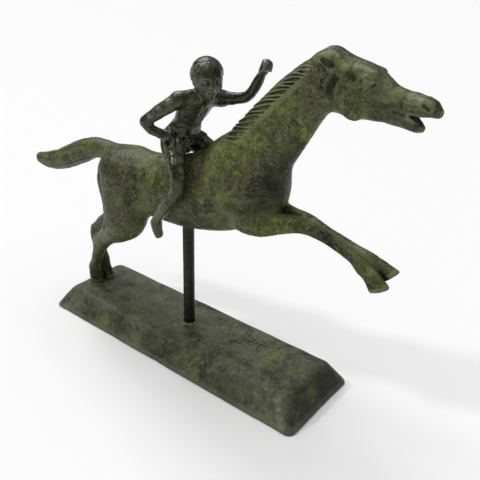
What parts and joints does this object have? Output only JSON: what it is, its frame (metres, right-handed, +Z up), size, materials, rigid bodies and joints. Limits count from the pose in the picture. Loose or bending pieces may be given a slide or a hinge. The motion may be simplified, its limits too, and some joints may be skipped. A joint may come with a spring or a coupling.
{
  "type": "equestrian statuette",
  "caption": "Cast statuette of a galloping horse with a boy rider in a short tunic, held up by a round post on a low bevelled plinth.",
  "frame": {"origin": "centre of the plinth's underside, on the surface that the statuette stands on", "axes": "+X forward, the way the horse gallops; +Y to the horse's left; +Z up"},
  "size_m": [0.2827, 0.062, 0.1948],
  "materials": {
    "horse_patina": "satin olive-green patina on cast bronze",
    "rider_patina": "glossy dark green patina on cast bronze",
    "post_metal": "dark semi-gloss turned metal",
    "plinth_patina": "matte mottled olive-grey patina, scratched on top"
  },
  "bodies": {
    "root": {"horse": "horse_patina", "rider": "rider_patina", "post": "post_metal", "plinth": "plinth_patina"}
  },
  "joints": []
}
